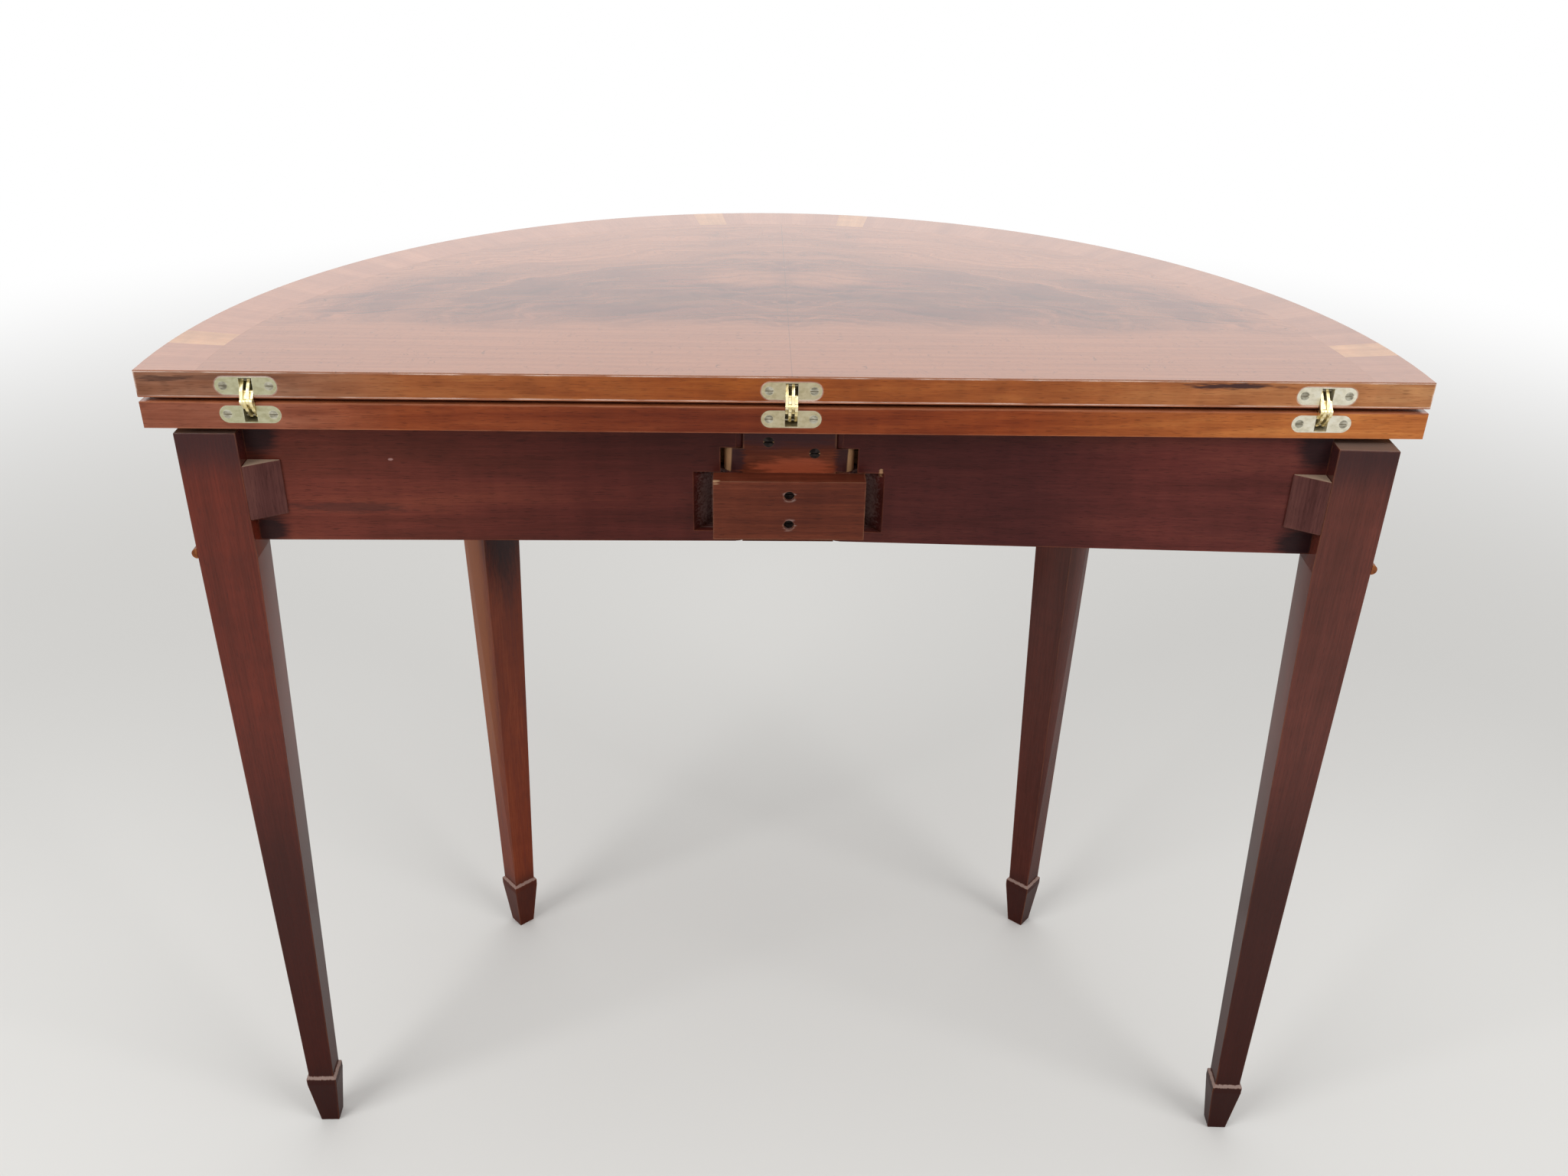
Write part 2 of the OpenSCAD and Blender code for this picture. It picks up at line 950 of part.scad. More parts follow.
// How far the other links' centre pin strays from these links' elbow, half way through the fold
half_turn = link_ratio * 90;
half_elbow = turned(elbow, pivot, half_turn);
half_line = [cos(225), sin(225)];
half_mirror = 2 * (half_elbow * half_line) * half_line - half_elbow;
stray = turned(half_elbow - half_mirror, [0, 0], -(90 - half_turn));

module link_outline() {
    bar(pivot, elbow, arm_width);
    bar(elbow, link_knee, arm_width);
    bar(link_knee, slide_end, arm_width);
    translate(elbow)
        circle(d = boss_width);
    for (p = [pivot, slide_end])
        translate(p)
            circle(d = link_eye);
}

// Links pivoted below the fold line carry the centre pins in plain holes
module pinned_link() {
    linear_extrude(link_thickness)
        difference() {
            link_outline();
            translate(pivot)
                circle(r = hinge_pin_radius + running_clearance);
            for (p = [elbow, slide_end])
                translate(p)
                    circle(r = hinge_pin_radius);
        }
}

// Links pivoted above it take the centre pins in a slot
module slotted_link() {
    from = elbow;
    to = elbow + [stray[0], -stray[1]];
    linear_extrude(link_thickness)
        difference() {
            union() {
                link_outline();
                bar(from, to, boss_width);
            }
            bar(from, to, pin_slot);
            translate(pivot)
                circle(r = hinge_pin_radius + running_clearance);
            translate(slide_end)
                circle(r = hinge_pin_radius);
        }
}

// Stands an outline of the hinge plane up at the given place among the links of one hinge
module at_layer(i) {
    layer = link_thickness + link_gap;
    translate([link_gap - slot_width / 2 + i * layer, 0, fold_z])
        rotate([90, 0, 90])
            children();
}

module links_lower(x) {
    color("#d5c597")
        placed()
            translate([x, 0, 0])
                for (i = [0, 2])
                    at_layer(i)
                        pinned_link();
}

module links_upper(x) {
    color("#d5c597")
        placed()
            flipped()
                translate([x, 0, 0])
                    for (i = [1, 3])
                        at_layer(i)
                            slotted_link();
}

lower_leaf();
lower_crossband();
lower_baize();
apron();
apron_bead();
inner_rail();
knuckle_block();
knuckle_block_screws();
stop_block();
stop_block_screws();
knuckle_pin_left();
knuckle_pin_right();
front_leg_left();
front_leg_right();
front_leg_beads();
glue_blocks();
hinge_body_lower(-hinge_spacing);  // hinge_body_lower_left
hinge_body_lower(0);  // hinge_body_lower_middle
hinge_body_lower(hinge_spacing);  // hinge_body_lower_right
hinge_screws_lower();
hinge_pins_lower();
upper_leaf();
flame_half(-1);  // flame_veneer_left
flame_half(1);  // flame_veneer_right
top_crossband();
light_blocks();
upper_crossband();
upper_baize();
hinge_body_upper(-hinge_spacing);  // hinge_body_upper_left
hinge_body_upper(0);  // hinge_body_upper_middle
hinge_body_upper(hinge_spacing);  // hinge_body_upper_right
hinge_screws_upper();
hinge_pins_upper();
links_lower(-hinge_spacing);  // links_lower_left
links_lower(0);  // links_lower_middle
links_lower(hinge_spacing);  // links_lower_right
centre_pins();
slide_pins_lower();
links_upper(-hinge_spacing);  // links_upper_left
links_upper(0);  // links_upper_middle
links_upper(hinge_spacing);  // links_upper_right
slide_pins_upper();
swing_rail_left();
rear_leg_left();
corner_block_left();
leg_bead_left();
swing_rail_right();
rear_leg_right();
corner_block_right();
leg_bead_right();
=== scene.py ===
"""Half-round games table with a folding leaf and two swing legs: finishes, light and camera."""
import math

import bpy
from mathutils import Matrix, Vector

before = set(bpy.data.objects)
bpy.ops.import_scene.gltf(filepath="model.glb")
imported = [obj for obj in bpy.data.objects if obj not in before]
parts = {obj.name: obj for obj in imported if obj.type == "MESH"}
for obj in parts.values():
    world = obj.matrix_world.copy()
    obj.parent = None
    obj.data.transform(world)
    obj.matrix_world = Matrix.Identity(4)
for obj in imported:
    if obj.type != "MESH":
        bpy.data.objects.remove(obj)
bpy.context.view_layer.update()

# Places that the finishes follow, in metres, in the table's own frame
FOLD_Y = -0.223289
LEAF_RADIUS = 0.4572
APRON_CENTRE_Y = FOLD_Y - 0.038
APRON_OUTSIDE = 0.445
APRON_INSIDE = 0.42
TABLE_END = 0.46

# Refractive index of a whole film of shellac, and the colour of mahogany without stain
SHELLAC = 1.5
UNSTAINED = "#8d6445"

# The noise seldom leaves the first span; only its crests, from the second span on, are pores
NOISE_SPAN = (0.3, 0.7)
PORE_SPAN = (0.60, 0.72)
# Real pores are 0.2 mm wide; they are drawn three times as coarse so that they show
PORE_WIDTH = 0.6

# Figure of the flame veneer, in millimetres from the fold or from the middle line. A pair gives
# where a form starts and where it is full, an oval its centre and its reach.
FLAME_BACK = (362, 300)
FLAME_FRONT = (92, 138)
FLAME_TIP = (465, 415)
FLAME_CROWN = ((0, 352, 0), (80, 46, 1))
FLAME_HEART = ((34, 240, 0), (34, 26, 1))
FEATHER = (105, 30)
CURL_ROOT = 112
CURLS = (95, 150)
FRONT_STRIP = (125, 95)
WANDER = 16.0
# How round the arches are at the middle, in millimetres, and how fast arches, tips, ribs and curls
# fall away to the sides
ARCH_ROUND = 60.0
ARCH_FALL = 0.35
TIP_FALL = 0.49
RIB_FALL = 0.75
CURL_FALL = 0.6


def linear(code):
    """A linear colour from an sRGB hex value."""
    shades = [int(code[i:i + 2], 16) / 255 for i in (1, 3, 5)]
    return [s / 12.92 if s <= 0.04045 else ((s + 0.055) / 1.055) ** 2.4 for s in shades] + [1.0]


def add(tree, kind, inputs=(), stops=(), **settings):
    """Adds a node. Inputs are values, nodes or sockets, by place or by name, and stops fill a
    colour ramp."""
    node = tree.nodes.new("ShaderNode" + kind)
    for name, value in settings.items():
        setattr(node, name, value)
    while len(stops) > 2 and len(node.color_ramp.elements) < len(stops):
        node.color_ramp.elements.new(0.5)
    for element, (place, code) in zip(node.color_ramp.elements if stops else (), stops):
        element.position = place
        element.color = linear(code)
    for place, value in inputs.items() if isinstance(inputs, dict) else enumerate(inputs):
        if isinstance(value, bpy.types.Node):
            value = value.outputs[0]
        if isinstance(value, bpy.types.NodeSocket):
            tree.links.new(value, node.inputs[place])
        elif isinstance(value, str):
            node.inputs[place].default_value = linear(value)
        elif value is not None:
            node.inputs[place].default_value = value
    return node


def new_finish(name):
    """An empty material and its node tree."""
    material = bpy.data.materials.new(name)
    material.use_nodes = True
    material.node_tree.nodes.clear()
    return material, material.node_tree


def shade(tree, base, roughness, relief, depth, **sockets):
    """Joins colour, roughness and relief, whose full height is depth in metres, to the shader. The
    other sockets get a fixed value, or a link where the value is a node."""
    bump = add(tree, "Bump", {"Height": relief, "Distance": depth})
    shader = add(tree, "BsdfPrincipled",
                 {"Base Color": base, "Roughness": roughness, "Normal": bump})
    for name, value in sockets.items():
        socket = shader.inputs[name.replace("_", " ")]
        if isinstance(value, bpy.types.Node):
            tree.links.new(value.outputs[0], socket)
        else:
            socket.default_value = value
    add(tree, "OutputMaterial", {"Surface": shader})


def grain_space(tree, run):
    """Coordinates in millimetres whose first axis follows the grain: along X, Y or Z, round the
    apron, or outward from the middle of the top."""
    x, y, z = add(tree, "SeparateXYZ", [add(tree, "TexCoord").outputs["Object"]]).outputs
    if run in ("round", "outward"):
        centre = APRON_CENTRE_Y if run == "round" else FOLD_Y
        radius = APRON_OUTSIDE if run == "round" else LEAF_RADIUS
        y = add(tree, "Math", [y, centre], operation="SUBTRACT")
        angle = add(tree, "Math", [x, y], operation="ARCTAN2")
        arc = add(tree, "Math", [angle, radius], operation="MULTIPLY")
        reach = add(tree, "VectorMath", [add(tree, "CombineXYZ", [x, y])], operation="LENGTH")
        reach = reach.outputs["Value"]
        order = (arc, reach, z) if run == "round" else (reach, arc, z)
    else:
        order = {"X": (x, y, z), "Y": (y, x, z), "Z": (z, x, y)}[run]
    return add(tree, "VectorMath", [add(tree, "CombineXYZ", order), (1000, 1000, 1000)],
               operation="MULTIPLY")


def streaks(tree, space, length, width, detail=3.0, seed=0.0):
    """Noise whose grains are that long and wide, in millimetres."""
    cut = add(tree, "VectorMath", [space, (1 / length, 1 / width, 1 / width), (seed, seed, seed)],
              operation="MULTIPLY_ADD")
    return add(tree, "TexNoise", {"Vector": cut, "Scale": 1.0, "Detail": detail, "Roughness": 0.55})


def oval(tree, space, centre, reach):
    """Distance from a centre, 1 on the oval that reaches that far along each axis."""
    away = add(tree, "VectorMath", [space, centre], operation="SUBTRACT")
    away = add(tree, "VectorMath", [away, [1 / r for r in reach]], operation="MULTIPLY")
    return add(tree, "VectorMath", [away], operation="LENGTH").outputs["Value"]


def spot(tree, space, centre, reach, strength):
    """A soft-rimmed spot in grain coordinates, ragged like the wood that it sits in. Small spots
    are the most ragged."""
    rag = min(0.35, 2.4 / min(reach))
    ragged = streaks(tree, space, 14, 1.6, seed=21.0)
    ragged = add(tree, "MapRange", [ragged, *NOISE_SPAN, -rag, rag])
    away = add(tree, "Math", [oval(tree, space, centre, reach), ragged], operation="ADD")
    return add(tree, "MapRange", [away, 1.0, 0.45, 0.0, strength], interpolation_type="SMOOTHSTEP")


def worn_edges(tree, space, amount, radius):
    """Rises to amount along edges that hands and dusters have rubbed, broken up along their length.
    The radius, in metres, is how far from the edge the rubbing reaches."""
    turned = add(tree, "Bevel", {"Radius": radius}, samples=4)
    flat = add(tree, "NewGeometry").outputs["Normal"]
    same = add(tree, "VectorMath", [turned, flat], operation="DOT_PRODUCT").outputs["Value"]
    edge = add(tree, "MapRange", [same, 0.985, 0.86, 0.0, amount])
    patches = add(tree, "MapRange", [streaks(tree, space, 30, 9, 2.0, 7.0), 0.35, 0.6, 0.15, 1.0])
    return add(tree, "Math", [edge, patches], operation="MULTIPLY", use_clamp=True)


def along_table(tree, stops):
    """Colour that changes from the left end of the table to its right end."""
    x = add(tree, "SeparateXYZ", [add(tree, "TexCoord").outputs["Object"]]).outputs[0]
    along = add(tree, "MapRange", [x, -TABLE_END, TABLE_END, 0.0, 1.0])
    return add(tree, "ValToRGB", [along], stops=stops)


def unstained_side(tree, side):
    """1 on faces that look down, or in towards the apron's centre: they were left without stain and
    polish."""
    toward = (0, 0, -1)
    if side == "in":
        from_centre = add(tree, "VectorMath", [add(tree, "TexCoord").outputs["Object"],
                                               (0, -APRON_CENTRE_Y, 0)], operation="ADD")
        toward = add(tree, "VectorMath", [from_centre, (-1 / APRON_INSIDE, -1 / APRON_INSIDE, 0)],
                     operation="MULTIPLY")
    normal = add(tree, "NewGeometry").outputs["Normal"]
    facing = add(tree, "VectorMath", [normal, toward], operation="DOT_PRODUCT").outputs["Value"]
    return add(tree, "MapRange", [facing, 0.6, 0.8, 0.0, 1.0])


def wood(name, run, pore, dark, mid, light, bands=16, streak=1.5, fineness=0.3, mottle=0.08,
         roughness=0.3, polish=0.6, film=1.3, bare=0.0, worn=0.35, edge_wear_and_glint="#b06a42", seed=0.0,
         relief=0.0001, pores=0.4, drift=(), end_grain=None, end_from=0.8, marks=(),
         raw_side=None, thin_below=None):
    """Polished or raw wood: broad colour bands, fine streaks, open pores and a cross-lit mottle.
    Film is the refractive index of its polish, under which the wood gives no highlight of its own;
    bare wood gives a weak one. Bands and streaks are as wide as given, in millimetres. Marks are
    spots of a centre and reach in grain millimetres, a strength and a colour. Below thin_below, in
    millimetres, the polish thins out down to the floor."""
    material, tree = new_finish(name)
    space = grain_space(tree, run)
    band = streaks(tree, space, bands * 10, bands, seed=seed)
    fine = streaks(tree, space, 60, streak, 4.0, seed + 3)
    broad = add(tree, "Math", [band, 1 - fineness], operation="MULTIPLY")
    blend = add(tree, "Math", [fine, fineness, broad], operation="MULTIPLY_ADD")
    base = add(tree, "ValToRGB", [blend], stops=[(0.36, dark), (0.5, mid), (0.64, light)])
    pits = streaks(tree, space, 9, PORE_WIDTH, 1.0, seed + 5)
    pits = add(tree, "MapRange", [pits, *PORE_SPAN, 0.0, 1.0])
    base = add(tree, "MixRGB", [add(tree, "Math", [pits, pores], operation="MULTIPLY"), base, pore])
    wave = streaks(tree, space, 14, 45, 1.5, seed + 9)
    wave = add(tree, "MapRange", [wave, *NOISE_SPAN, 1 - mottle, 1 + mottle])
    base = add(tree, "MixRGB", [1.0, base, wave], blend_type="MULTIPLY")
    if drift:
        base = add(tree, "MixRGB", [1.0, base, along_table(tree, drift)], blend_type="MULTIPLY")
    for centre, reach, strength, colour in marks:
        base = add(tree, "MixRGB", [spot(tree, space, centre, reach, strength), base, colour])
    if end_grain:
        normal = add(tree, "SeparateXYZ", [add(tree, "NewGeometry").outputs["Normal"]])
        facing = add(tree, "Math", [normal.outputs["XYZ".index(run)]], operation="ABSOLUTE")
        end = add(tree, "MapRange", [facing, end_from, end_from + 0.12, 0.0, 1.0])
        speckle = streaks(tree, space, 3, 0.8, seed=seed + 13)
        speckle = add(tree, "MixRGB", [speckle, end_grain, mid])
        base = add(tree, "MixRGB", [end, base, add(tree, "MixRGB", [0.3, end_grain, speckle])])
    if raw_side:
        hidden = unstained_side(tree, raw_side)
        base = add(tree, "MixRGB", [hidden, base, add(tree, "MixRGB", [0.55, base, UNSTAINED])])
        polish = add(tree, "Math", [add(tree, "Math", [1.0, hidden], operation="SUBTRACT"), polish],
                     operation="MULTIPLY")
    if thin_below:
        height = add(tree, "SeparateXYZ", [space]).outputs[0]
        polish = add(tree, "MapRange", [height, 0.0, thin_below, polish * 0.3, polish])
    if worn:
        base = add(tree, "MixRGB", [worn_edges(tree, space, worn, radius=0.0018), base, edge_wear_and_glint])
    smears = streaks(tree, space, 60, 40, seed=seed + 11)
    rough = add(tree, "MapRange", [smears, *NOISE_SPAN, roughness * 0.8, roughness * 1.25])
    surface = add(tree, "Math", [pits, -1.0, add(tree, "Math", [fine, 0.3], operation="MULTIPLY")],
                  operation="MULTIPLY_ADD")
    shade(tree, base, rough, surface, relief, Coat_Weight=polish, Coat_Roughness=roughness,
          Coat_IOR=film, Specular_IOR_Level=bare)
    return material


def flame_veneer():
    """Crotch mahogany, book-matched on the middle line and french polished: a near-black flame
    that fans out from the middle, brown arcs over it and straight red grain in front of it."""
    material, tree = new_finish("mahogany_flame_veneer_polished")
    place = add(tree, "SeparateXYZ", [add(tree, "TexCoord").outputs["Object"]])
    across = add(tree, "Math", [add(tree, "Math", [place.outputs[0]], operation="ABSOLUTE"), 1000],
                 operation="MULTIPLY")
    deep = add(tree, "Math", [place.outputs[1], 1000, -FOLD_Y * 1000], operation="MULTIPLY_ADD")
    flat = add(tree, "CombineXYZ", [across, deep, 0.0])
    wander = streaks(tree, flat, 90, 34, seed=2.0)
    wander = add(tree, "MapRange", [wander, 0.25, 0.75, -WANDER, WANDER])
    # Height at the middle line of the arch that a point lies on
    span = add(tree, "CombineXYZ", [across, ARCH_ROUND, 0.0])
    span = add(tree, "VectorMath", [span], operation="LENGTH").outputs["Value"]
    arch = add(tree, "Math", [span, ARCH_FALL, deep], operation="MULTIPLY_ADD")
    arch = add(tree, "Math", [arch, wander], operation="ADD")
    over_arch = add(tree, "CombineXYZ", [across, arch, 0.0])
    # The flame lies under the arches, behind its ragged foot and inside its slanting tips
    below = add(tree, "MapRange", [arch, *FLAME_BACK, 0, 1], interpolation_type="SMOOTHSTEP")
    low = add(tree, "Math", [deep, wander], operation="ADD")
    above = add(tree, "MapRange", [low, *FLAME_FRONT, 0, 1], interpolation_type="SMOOTHSTEP")
    side = add(tree, "Math", [deep, TIP_FALL, across], operation="MULTIPLY_ADD")
    inside = add(tree, "MapRange", [side, *FLAME_TIP, 0, 1], interpolation_type="SMOOTHSTEP")
    flame = add(tree, "Math", [add(tree, "Math", [below, above], operation="MULTIPLY"), inside],
                operation="MULTIPLY")
    # A faint crown over its middle
    crown = add(tree, "MapRange", [oval(tree, flat, *FLAME_CROWN), 1.4, 0.5, 0.0, 0.38],
                interpolation_type="SMOOTHSTEP")
    flame = add(tree, "Math", [flame, crown], operation="MAXIMUM")
    # Lighter oval in the flame's heart and the ribs of the feather under it
    heart = add(tree, "MapRange", [oval(tree, flat, *FLAME_HEART), 1.5, 0.5, 0.0, 0.75],
                interpolation_type="SMOOTHSTEP")
    ribs = add(tree, "Math", [across, -RIB_FALL, deep], operation="MULTIPLY_ADD")
    ribs = add(tree, "Math", [ribs, wander], operation="ADD")
    ribs = streaks(tree, add(tree, "CombineXYZ", [across, ribs, 0.0]), 55, 6.5, seed=4.0)
    near_middle = add(tree, "MapRange", [across, *FEATHER, 0, 1], interpolation_type="SMOOTHSTEP")
    feather = add(tree, "Math", [add(tree, "MapRange", [ribs, 0.5, 0.66, 0.0, 0.45]), near_middle],
                  operation="MULTIPLY")
    lifted = add(tree, "Math", [heart, feather], operation="MAXIMUM")
    # Light curls that spring from the middle and fall away to both sides
    lean = add(tree, "Math", [across, CURL_FALL], operation="MULTIPLY")
    rise = add(tree, "Math", [deep, CURL_ROOT], operation="SUBTRACT")
    curl = add(tree, "VectorMath", [add(tree, "CombineXYZ", [lean, rise, 0.0])], operation="LENGTH")
    curl = add(tree, "Math", [wander, 0.6, curl.outputs["Value"]], operation="MULTIPLY_ADD")
    turn = add(tree, "Math", [add(tree, "Math", [lean, rise], operation="ARCTAN2"), 130],
               operation="MULTIPLY")
    curls = streaks(tree, add(tree, "CombineXYZ", [turn, curl, 0.0]), 210, 15, seed=3.0)
    curls = add(tree, "MapRange", [curls, 0.46, 0.66, 0.0, 0.6])
    away = add(tree, "MapRange", [curl, *CURLS, 0, 1], interpolation_type="SMOOTHSTEP")
    curls = add(tree, "Math", [curls, away], operation="MULTIPLY")
    lifted = add(tree, "Math", [lifted, curls], operation="MAXIMUM")
    flame = add(tree, "Math", [flame, add(tree, "Math", [1.0, lifted], operation="SUBTRACT")],
                operation="MULTIPLY")
    # Streaks run with the arches at the back and straight across, and fainter, in front
    arched = streaks(tree, over_arch, 150, 5.5, 4.0, 1.0)
    straight = streaks(tree, flat, 150, 5.0, 4.0, 6.0)
    straight = add(tree, "MapRange", [straight, *NOISE_SPAN, 0.40, 0.60])
    front = add(tree, "MapRange", [deep, *FRONT_STRIP, 0, 1], interpolation_type="SMOOTHSTEP")
    figure = add(tree, "MixRGB", [front, arched, straight])
    ground = add(tree, "ValToRGB", [figure],
                 stops=[(0.30, "#824f39"), (0.43, "#915b41"), (0.54, "#9c6447"), (0.68, "#a76c4d")])
    fringe = add(tree, "MapRange", [streaks(tree, flat, 110, 40, seed=14.0), 0.35, 0.62, 0.6, 1.0])
    flame = add(tree, "Math", [flame, fringe], operation="MULTIPLY")
    shadowed = add(tree, "ValToRGB", [figure],
                   stops=[(0.32, "#4a241e"), (0.5, "#613228"), (0.7, "#763f31")])
    base = add(tree, "MixRGB", [flame, ground, shadowed])
    pores = streaks(tree, over_arch, 7, PORE_WIDTH, 1.0, 8.0)
    pores = add(tree, "MapRange", [pores, *PORE_SPAN, 0.0, 0.5])
    base = add(tree, "MixRGB", [pores, base, "#3c2019"])
    seam = add(tree, "MapRange", [across, 0.15, 0.5, 0.35, 0.0])
    base = add(tree, "MixRGB", [seam, base, "#2e1914"])
    smears = streaks(tree, flat, 120, 70, 4.0, 12.0)
    rough = add(tree, "MapRange", [smears, *NOISE_SPAN, 0.10, 0.16])
    shade(tree, base, rough, pores, 0.00005, Coat_Weight=1.0, Coat_Roughness=0.13, Coat_IOR=SHELLAC,
          Specular_IOR_Level=0.0)
    return material


def metal(name, bright, body, tarnish, roughness, packed=0.7, drift=()):
    """Old rolled or cast metal: dulled flats, brighter rubbed edges, dirt packed into the corners,
    where it hides the metal."""
    material, tree = new_finish(name)
    space = grain_space(tree, "X")
    blotch = streaks(tree, space, 5.0, 3.2, 4.0, 1.0)
    base = add(tree, "ValToRGB", [blotch], stops=[(0.34, tarnish), (0.5, body), (0.68, bright)])
    if drift:
        base = add(tree, "MixRGB", [1.0, base, along_table(tree, drift)], blend_type="MULTIPLY")
    base = add(tree, "MixRGB", [worn_edges(tree, space, 0.8, radius=0.0006), base, bright])
    clean = 1.0
    if packed:
        corner = add(tree, "AmbientOcclusion", {"Distance": 0.004}, samples=4).outputs["AO"]
        dirty = add(tree, "MapRange", [corner, 0.2, 0.7, packed, 0.0])
        base = add(tree, "MixRGB", [dirty, base, "#8a7c62"])
        clean = add(tree, "Math", [1.0, dirty], operation="SUBTRACT")
    # Scratches a hundredth of a millimetre wide, drawn at a fifth of a millimetre so that they show
    scratch = streaks(tree, space, 6, 0.2, 2.0, 5.0)
    rough = add(tree, "MapRange", [blotch, 0.35, 0.7, roughness + 0.12, roughness - 0.06])
    surface = add(tree, "Math", [scratch, blotch], operation="ADD")
    shade(tree, base, rough, surface, 0.00006, Metallic=clean)
    return material


def baize_cloth():
    """Green wool baize, fulled and napped: no thread shows, only a soft felted pile."""
    material, tree = new_finish("wool_baize_green")
    space = grain_space(tree, "X")
    pile = streaks(tree, space, 1.1, 0.7, 4.0, 2.0)
    wear = streaks(tree, space, 90, 70, seed=4.0)
    base = add(tree, "ValToRGB", [pile],
               stops=[(0.3, "#1b4128"), (0.5, "#275538"), (0.7, "#356a45")])
    faded = add(tree, "MapRange", [wear, 0.35, 0.7, 0.0, 0.25])
    base = add(tree, "MixRGB", [faded, base, "#4c6d47"])
    shade(tree, base, 0.95, pile, 0.0006, Sheen_Weight=0.35, Sheen_Roughness=0.5,
          Specular_IOR_Level=0.15)
    return material


# Films of old shellac: whole and glossy on the top, thinner on the legs, which mirror less
FRENCH_POLISH = {"polish": 1.0, "film": SHELLAC, "roughness": 0.13}
LEG_POLISH = {"polish": 1.0, "film": 1.36, "roughness": 0.14, "thin_below": 450}

# Mahogany with a dark red stain under old shellac: brown-red, the grain half drowned, with painted
# shade that darkens it towards the middle and painted shadow round the corner blocks. The notches
# behind the stop block are paler and greyer, and a dark streak and two pale nicks break the face.
RAIL_PAINTED_SHADE = [(0.13, "#fcf8f8"), (0.34, "#c0b2bc"), (0.70, "#acaac4"), (0.80, "#e0daf0"),
              (0.96, "#ccd0e8")]
# Colour of the painted shadow above and below each corner block, where the rails meet the legs
CORNER_SHADOW_PAINT = "#170f13"
RAIL_MARKS = [((-324, -205, 649), (54, 200, 5.5), 0.45, "#332221"),
              ((-292, -205, 688), (2.2, 200, 1.4), 0.8, "#a8807a"),
              ((68, -205, 679), (1.8, 200, 4.5), 0.9, "#a07a5a"),
              ((0, -193, 655), (110, 11.5, 45), 0.9, "#7c6460"),
              ((-388, -205, 708), (22, 200, 22), 0.85, CORNER_SHADOW_PAINT),
              ((-388, -205, 630), (19, 200, 16), 0.85, CORNER_SHADOW_PAINT),
              ((390, -217, 708), (26, 200, 22), 0.85, CORNER_SHADOW_PAINT),
              ((386, -217, 630), (24, 200, 16), 0.85, CORNER_SHADOW_PAINT)]
rail_wood = wood("mahogany_rail_stained", "X", "#2e1712", "#5a2b21", "#693228", "#783d2e", bands=24,
                 seed=1.0, roughness=0.34, drift=RAIL_PAINTED_SHADE, end_grain="#7d4a30",
                 edge_wear_and_glint="#9a5c3c", marks=RAIL_MARKS)
# The stop block: the same stain on closer grain, a chipped corner and pale rims round its screws
block_wood = wood("mahogany_block_stained", "X", "#24130f", "#4e2318", "#5c2b1c", "#6a3423",
                  bands=15, seed=4.0, worn=0.42, edge_wear_and_glint="#9a7258", roughness=0.36,
                  fineness=0.5, end_grain="#8a5a3c",
                  marks=[((-55, -218, 679), (4.5, 3, 2.6), 0.9, "#b08c6c"),
                         ((0, -218, 667), (5.2, 60, 5.2), 0.7, "#8b7671"),
                         ((0, -218, 643.5), (5.2, 60, 5.2), 0.7, "#8b7671")])
# The block between the knuckles has lost its stain in front; its ears show pale end grain
knuckle_wood = wood("mahogany_knuckle_worn", "X", "#3a1a0e", "#4c1f14", "#5d2a19", "#6b3522",
                    bands=14, seed=4.5, worn=0.3, edge_wear_and_glint="#a06f4c", roughness=0.4,
                    end_grain="#a8825e", end_from=0.30, fineness=0.45,
                    marks=[((6, -202, 683), (38, 200, 10), 0.85, "#9a4a30"),
                           # Painted shadow along the top, under the leaf
                           ((0, -202, 716), (90, 200, 22), 0.9, "#43282b"),
                           ((-40, -202, 690), (9, 200, 24), 0.85, "#2f1b1e"),
                           ((40, -202, 690), (9, 200, 24), 0.85, "#2f1b1e")])
# Corner blocks: greyer and duller than the rails, with pale sawn ends
corner_wood = wood("mahogany_corner_block", "Z", "#2a1714", "#492a27", "#54322f", "#603b36",
                   bands=14, seed=18.0, fineness=0.45, polish=0.3, roughness=0.45,
                   edge_wear_and_glint="#7d5442", end_grain="#a8917c")
# Legs: smooth red-brown, with painted shade that darkens them under the top and towards the floor.
# Their spade feet are dark, with a pale line round the collars.
FOOT_MARKS = [((24, 0, 0), (62, 9000, 9000), 0.7, "#2e110d"),
              ((60, 0, 0), (1.7, 9000, 9000), 0.6, "#b39a90")]
# Painted shade under the top and towards the floor, and a faint darker tone on the right front leg
LEG_SHADE_AND_TONE_MARKS = [((742, 0, 0), (75, 9000, 9000), 0.75, "#2c171a"),
             ((140, 0, -205), (350, 9000, 330), 0.8, "#300f0a"),
             ((340, 277, 60), (600, 70, 90), 0.2, "#3a120a")]
LEG_GRAIN = {"bands": 18, "fineness": 0.5, "mottle": 0.05, "pores": 0.25, "end_grain": "#7a675c"}
leg_wood = wood("mahogany_leg_stained", "Z", "#2a1411", "#522319", "#5d2920", "#692f25", seed=2.0,
                drift=[(0.05, "#ffdab8"), (0.95, "#f2ffff")], marks=LEG_SHADE_AND_TONE_MARKS + FOOT_MARKS,
                **LEG_GRAIN, **LEG_POLISH)
# The left front leg's stain has faded to orange-brown. Painted light warms its outer side and a
# near-black painted shadow lies high up on its inner side.
FRONT_LEFT_LIGHT_AND_SHADOW = [((560, -263, 45), (165, 33, 60), 0.9, "#1f0d12"),
               ((430, -301, 55), (330, 23, 60), 0.8, "#8a4a20")]
faded_leg_wood = wood("mahogany_leg_faded", "Z", "#3a1a12", "#642b1d", "#732f18", "#80391e",
                      seed=2.5, marks=FRONT_LEFT_LIGHT_AND_SHADOW + FOOT_MARKS, **LEG_GRAIN, **LEG_POLISH)
